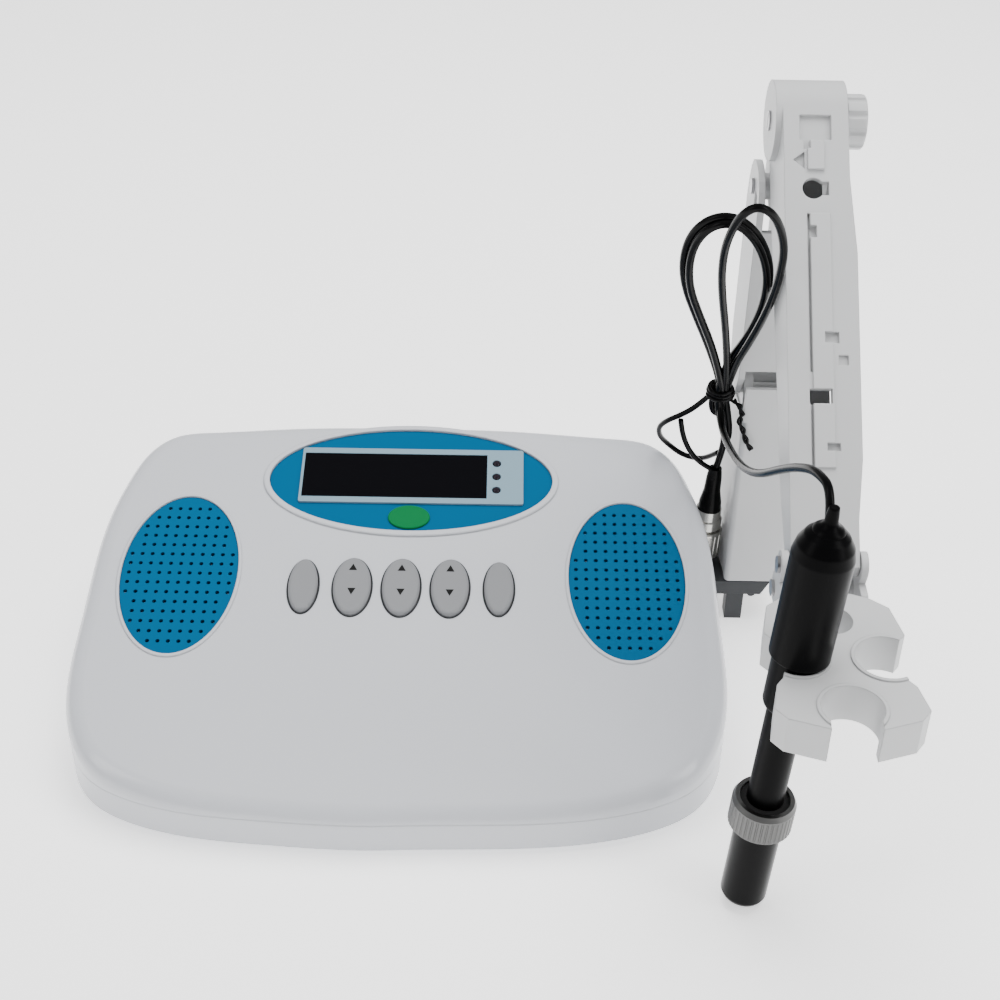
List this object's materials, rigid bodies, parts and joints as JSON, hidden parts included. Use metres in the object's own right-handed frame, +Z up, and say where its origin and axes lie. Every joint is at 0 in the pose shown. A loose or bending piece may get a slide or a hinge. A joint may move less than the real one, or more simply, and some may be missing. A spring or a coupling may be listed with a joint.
{
  "type": "ph meter",
  "caption": "Bench pH meter: sloped console with display and keypad, folding two-part electrode arm on a swivel post, combination electrode in its storage bottle and a tied cable.",
  "frame": {"origin": "middle of the footprint of the console and its electrode arm, at table level", "axes": "+X to the right of someone facing the keypad, +Y to the back of the console, +Z up"},
  "size_m": [0.2646, 0.2098, 0.2128],
  "materials": {
    "case_white": "glossy moulded",
    "panel_blue": "satin print",
    "frame_silver": "satin",
    "window_black": "polished dark filter",
    "led_dark": "tinted",
    "badge_green": "glossy",
    "key_grey": "matte",
    "board_green": "solder mask",
    "chip_black": "matte",
    "tin": "tinned",
    "steel": "bright",
    "rubber_black": "matte",
    "rear_grey": "satin",
    "socket_black": "matte",
    "nickel": "nickel plated",
    "arm_grey": "satin moulded",
    "bracket_grey": "satin",
    "cable_black": "satin",
    "electrode_black": "satin",
    "bulb_glass": "clear",
    "bottle_black": "polished",
    "ring_silver": "knurled"
  },
  "bodies": {
    "console": {"base_case": "case_white", "top_case": "case_white", "display_panel": "panel_blue", "display_bezel": "frame_silver", "display_window": "window_black", "display_module": "chip_black", "indicator_leds": "led_dark", "badge": "badge_green", "key_switches": "chip_black", "key_board": "board_green", "left_grille": "panel_blue", "right_grille": "panel_blue", "rubber_feet": "rubber_black", "case_screws": "steel", "main_board": "board_green", "board_chips": "chip_black", "amplifier_shield": "tin", "transformer": "steel", "rear_panel": "rear_grey", "power_inlet": "socket_black", "power_switch": "socket_black", "fuse_holder": "socket_black", "input_socket": "nickel", "reference_terminal": "steel", "arm_bracket": "bracket_grey", "bracket_feet": "bracket_grey"},
    "confirm_key": {"key_confirm": "key_grey"},
    "temperature_key": {"key_temperature": "key_grey"},
    "slope_key": {"key_slope": "key_grey"},
    "standard_key": {"key_standard": "key_grey"},
    "mode_key": {"key_mode": "key_grey"},
    "switch_rocker": {"power_rocker": "socket_black"},
    "thumb_nut": {"terminal_nut": "nickel"},
    "post": {"post": "arm_grey", "post_spindle": "steel", "post_pins": "steel", "cable_hank": "cable_black", "cable_tie": "cable_black", "side_lead": "cable_black", "branch_lead": "cable_black", "plug_boot": "cable_black", "plug_body": "nickel", "electrode_lead": "cable_black"},
    "plug_ring": {"plug_coupling": "nickel"},
    "lower_arm": {"lower_arm": "arm_grey"},
    "lower_link": {"lower_link": "arm_grey"},
    "elbow_block": {"elbow_block": "arm_grey", "elbow_pins": "steel"},
    "upper_arm": {"upper_arm": "arm_grey", "elbow_axle": "steel"},
    "upper_link": {"upper_link": "arm_grey"},
    "knob": {"elbow_knob": "arm_grey"},
    "clip": {"electrode_clip": "arm_grey", "clip_pins": "steel"},
    "electrode": {"electrode_cap": "electrode_black", "electrode_body": "electrode_black", "sensing_bulb": "bulb_glass"},
    "bottle": {"storage_bottle": "bottle_black", "bottle_seal": "rubber_black"},
    "ring": {"bottle_ring": "ring_silver"}
  },
  "joints": [
    {"name": "post_swivel", "type": "hinge", "parent": "console", "child": "post", "pos_m": [0.109, 0.0783, 0.019], "axis": [0, 0, 1], "range_deg": [0, 100], "deforming": ["side_lead", "branch_lead"]},
    {"name": "lower_arm_lean", "type": "hinge", "parent": "post", "child": "lower_arm", "pos_m": [0.1115, 0.0783, 0.103], "axis": [1, 0, 0], "range_deg": [-13, 13], "deforming": ["electrode_lead", "cable_hank"]},
    {"name": "lower_link_turn", "type": "hinge", "parent": "post", "child": "lower_link", "pos_m": [0.1115, 0.0883, 0.101], "axis": [1, 0, 0], "range_deg": [-13, 13]},
    {"name": "elbow_level", "type": "hinge", "parent": "lower_arm", "child": "elbow_block", "pos_m": [0.1115, 0.0783, 0.174], "axis": [1, 0, 0], "range_deg": [-13, 13]},
    {"name": "elbow_lift", "type": "hinge", "parent": "elbow_block", "child": "upper_arm", "pos_m": [0.1115, 0.0703, 0.2], "axis": [-1, 0, 0], "range_deg": [0, 55], "deforming": ["electrode_lead"]},
    {"name": "upper_link_turn", "type": "hinge", "parent": "elbow_block", "child": "upper_link", "pos_m": [0.1115, 0.0743, 0.188], "axis": [-1, 0, 0], "range_deg": [0, 55]},
    {"name": "clip_level", "type": "hinge", "parent": "upper_arm", "child": "clip", "pos_m": [0.1115, -0.0392, 0.105], "axis": [-1, 0, 0], "range_deg": [-55, 0], "deforming": ["electrode_lead"]},
    {"name": "knob_turn", "type": "hinge", "parent": "upper_arm", "child": "knob", "pos_m": [0.1255, 0.0703, 0.2], "axis": [1, 0, 0], "continuous": true},
    {"name": "electrode_lift", "type": "slide", "parent": "clip", "child": "electrode", "axis": [0.0628, 0, 0.998], "range_m": [0, 0.04], "deforming": ["electrode_lead"]},
    {"name": "bottle_off", "type": "slide", "parent": "electrode", "child": "bottle", "axis": [-0.0628, 0, -0.998], "range_m": [0, 0.04]},
    {"name": "ring_turn", "type": "hinge", "parent": "bottle", "child": "ring", "pos_m": [0.0931, -0.0757, 0.003], "axis": [0.0628, 0, 0.998], "continuous": true},
    {"name": "plug_ring_turn", "type": "hinge", "parent": "post", "child": "plug_ring", "pos_m": [0.0946, 0.0773, 0.0575], "axis": [0.0436, 0, 0.999], "continuous": true},
    {"name": "confirm_press", "type": "slide", "parent": "console", "child": "confirm_key", "axis": [0, 0.2785, -0.9604], "range_m": [0, 0.0008], "stiffness_N_per_m": 400, "springref_m": -0.0006},
    {"name": "mode_press", "type": "slide", "parent": "console", "child": "mode_key", "axis": [0, 0.2785, -0.9604], "range_m": [0, 0.0008], "stiffness_N_per_m": 400, "springref_m": -0.0006},
    {"name": "temperature_tilt", "type": "hinge", "parent": "console", "child": "temperature_key", "pos_m": [-0.0373, 0.02648, 0.03898], "axis": [1, 0, 0], "range_deg": [-3, 3], "stiffness_Nm_per_rad": 0.05},
    {"name": "slope_tilt", "type": "hinge", "parent": "console", "child": "slope_key", "pos_m": [-0.02, 0.02648, 0.03898], "axis": [1, 0, 0], "range_deg": [-3, 3], "stiffness_Nm_per_rad": 0.05},
    {"name": "standard_tilt", "type": "hinge", "parent": "console", "child": "standard_key", "pos_m": [-0.0027, 0.02648, 0.03898], "axis": [1, 0, 0], "range_deg": [-3, 3], "stiffness_Nm_per_rad": 0.05},
    {"name": "power_tilt", "type": "hinge", "parent": "console", "child": "switch_rocker", "pos_m": [-0.0395, 0.0888, 0.0275], "axis": [1, 0, 0], "range_deg": [0, 16]},
    {"name": "thumb_nut_turn", "type": "hinge", "parent": "console", "child": "thumb_nut", "pos_m": [0.0185, 0.1003, 0.027], "axis": [0, 1, 0], "continuous": true}
  ],
  "couplings": [
    {"joint": "lower_link_turn", "follows": "lower_arm_lean", "ratio": 1},
    {"joint": "elbow_level", "follows": "lower_arm_lean", "ratio": -1},
    {"joint": "upper_link_turn", "follows": "elbow_lift", "ratio": 1},
    {"joint": "clip_level", "follows": "elbow_lift", "ratio": -1}
  ]
}
